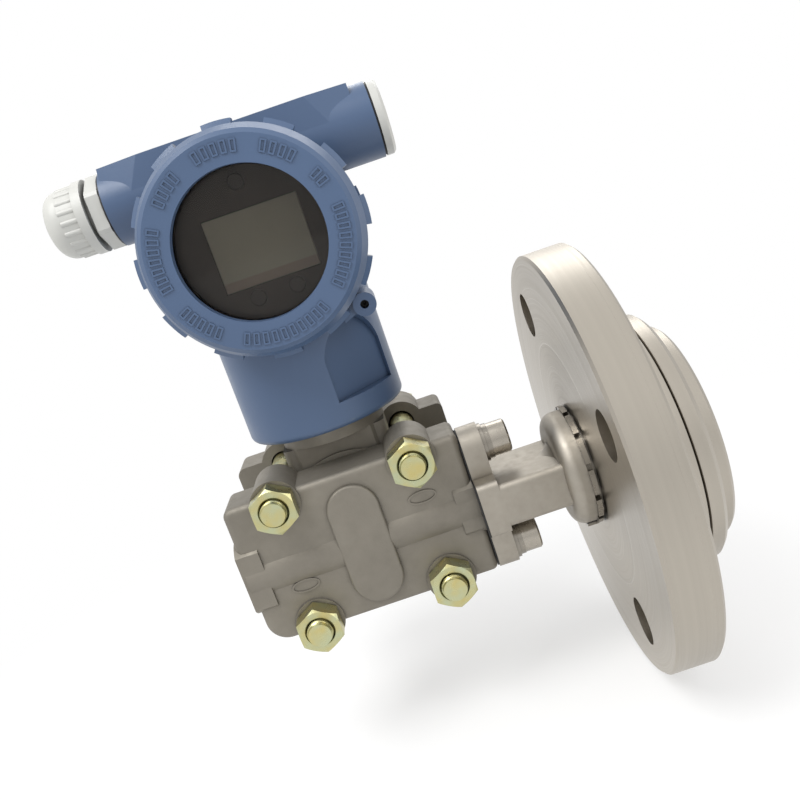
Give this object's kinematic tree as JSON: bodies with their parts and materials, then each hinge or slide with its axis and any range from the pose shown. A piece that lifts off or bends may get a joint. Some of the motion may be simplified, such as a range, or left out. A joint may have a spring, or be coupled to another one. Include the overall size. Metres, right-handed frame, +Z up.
{
  "type": "differential pressure transmitter",
  "caption": "Differential pressure transmitter: display housing on a two-flange sensor body, joined on its high side to a round flange with a stepped diaphragm seal.",
  "frame": {"origin": "centre of the diaphragm seal's sealing face", "axes": "+X leaves the sealing face towards the vessel, +Z up along the housing's neck, the display looks along -Y"},
  "size_m": [0.2035, 0.165, 0.2438],
  "materials": {
    "stainless": "satin stainless steel, turned and milled",
    "cast_stainless": "warm grey investment-cast stainless steel",
    "zinc": "yellow passivated zinc plate",
    "paint": "blue satin powder coat on die-cast aluminium",
    "nylon": "off-white moulded nylon",
    "black_rubber": "black moulded elastomer",
    "white_seal": "white fluoropolymer",
    "window": "polished toughened glass",
    "dark_plastic": "fine textured moulded plastic",
    "lcd": "grey-green reflective display",
    "board": "coated circuit board",
    "potting": "black potting compound",
    "button": "smooth moulded plastic",
    "terminal": "moulded thermoset",
    "brass_plate": "nickel plated screws"
  },
  "bodies": {
    "transmitter_base": {"mounting_flange": "stainless", "seal_head": "stainless", "process_diaphragm": "stainless", "tab_washer": "stainless", "shoulder_ring": "stainless", "seal_adapter": "stainless", "adapter_gasket": "white_seal", "front_process_flange": "cast_stainless", "rear_process_flange": "cast_stainless", "front_drain_plug": "stainless", "rear_drain_plug": "stainless", "front_flange_gasket": "white_seal", "rear_flange_gasket": "white_seal", "sensor_module": "stainless", "neck_oring": "black_rubber", "front_isolator": "stainless", "rear_isolator": "stainless", "upper_adapter_screw": "stainless", "lower_adapter_screw": "stainless", "upper_flat_washer": "stainless", "lower_flat_washer": "stainless", "upper_spring_washer": "stainless", "lower_spring_washer": "stainless", "flange_bolt_1": "zinc", "flange_bolt_2": "zinc", "flange_bolt_3": "zinc", "flange_bolt_4": "zinc", "flange_nut_1": "zinc", "flange_nut_2": "zinc", "flange_nut_3": "zinc", "flange_nut_4": "zinc"},
    "electronics_housing": {"housing": "paint", "cover_lock_screw": "stainless", "swivel_lock_screw": "stainless", "display_bezel": "dark_plastic", "lcd_panel": "lcd", "display_board": "board", "electronics_module": "potting", "terminal_block": "terminal", "terminal_screw_1": "brass_plate", "terminal_screw_2": "brass_plate", "terminal_screw_3": "brass_plate", "gland_washer": "black_rubber", "gland_body": "nylon"},
    "front_cover_seal": {"front_cover_oring": "black_rubber"},
    "front_cover_assembly": {"front_cover": "paint", "window_gasket": "black_rubber", "window_glass": "window", "glass_ring": "dark_plastic"},
    "rear_cover_seal": {"rear_cover_oring": "black_rubber"},
    "rear_cover_assembly": {"rear_cover": "paint"},
    "upper_button_body": {"upper_button": "button"},
    "left_button_body": {"left_button": "button"},
    "right_button_body": {"right_button": "button"},
    "cable_seal": {"gland_seal": "black_rubber"},
    "gland_nut_body": {"gland_nut": "nylon"},
    "plug_seal": {"plug_washer": "black_rubber"},
    "plug_body": {"blanking_plug": "nylon"}
  },
  "joints": [
    {"name": "housing_swivel", "type": "hinge", "parent": "transmitter_base", "child": "electronics_housing", "pos_m": [-0.1296, 0.027, 0], "axis": [0, 0, 1], "range_deg": [-180, 180]},
    {"name": "front_cover_travel", "type": "slide", "parent": "electronics_housing", "child": "front_cover_seal", "axis": [0, -1, 0], "range_m": [0, 0.01001]},
    {"name": "front_cover_turn", "type": "hinge", "parent": "front_cover_seal", "child": "front_cover_assembly", "pos_m": [-0.1296, -0.024, 0.119], "axis": [0, -1, 0], "range_deg": [0, 1800]},
    {"name": "rear_cover_travel", "type": "slide", "parent": "electronics_housing", "child": "rear_cover_seal", "axis": [0, 1, 0], "range_m": [0, 0.01001]},
    {"name": "rear_cover_turn", "type": "hinge", "parent": "rear_cover_seal", "child": "rear_cover_assembly", "pos_m": [-0.1296, 0.074, 0.119], "axis": [0, 1, 0], "range_deg": [0, 1800]},
    {"name": "gland_nut_travel", "type": "slide", "parent": "electronics_housing", "child": "cable_seal", "axis": [-1, 0, 0], "range_m": [0, 0.00451]},
    {"name": "gland_nut_turn", "type": "hinge", "parent": "cable_seal", "child": "gland_nut_body", "pos_m": [-0.1896, 0.027, 0.1465], "axis": [-1, 0, 0], "range_deg": [0, 1080]},
    {"name": "plug_travel", "type": "slide", "parent": "electronics_housing", "child": "plug_seal", "axis": [1, 0, 0], "range_m": [0, 0.00751]},
    {"name": "plug_turn", "type": "hinge", "parent": "plug_seal", "child": "plug_body", "pos_m": [-0.0756, 0.027, 0.1465], "axis": [1, 0, 0], "range_deg": [0, 1800]},
    {"name": "upper_button_press", "type": "slide", "parent": "electronics_housing", "child": "upper_button_body", "axis": [0, 1, 0], "range_m": [0, 0.0006], "stiffness_N_per_m": 1500},
    {"name": "left_button_press", "type": "slide", "parent": "electronics_housing", "child": "left_button_body", "axis": [0, 1, 0], "range_m": [0, 0.0006], "stiffness_N_per_m": 1500},
    {"name": "right_button_press", "type": "slide", "parent": "electronics_housing", "child": "right_button_body", "axis": [0, 1, 0], "range_m": [0, 0.0006], "stiffness_N_per_m": 1500}
  ],
  "couplings": [
    {"joint": "front_cover_travel", "follows": "front_cover_turn", "m_per_rad": 0.00031831},
    {"joint": "rear_cover_travel", "follows": "rear_cover_turn", "m_per_rad": 0.00031831},
    {"joint": "gland_nut_travel", "follows": "gland_nut_turn", "m_per_rad": 0.00023873},
    {"joint": "plug_travel", "follows": "plug_turn", "m_per_rad": 0.00023873}
  ]
}
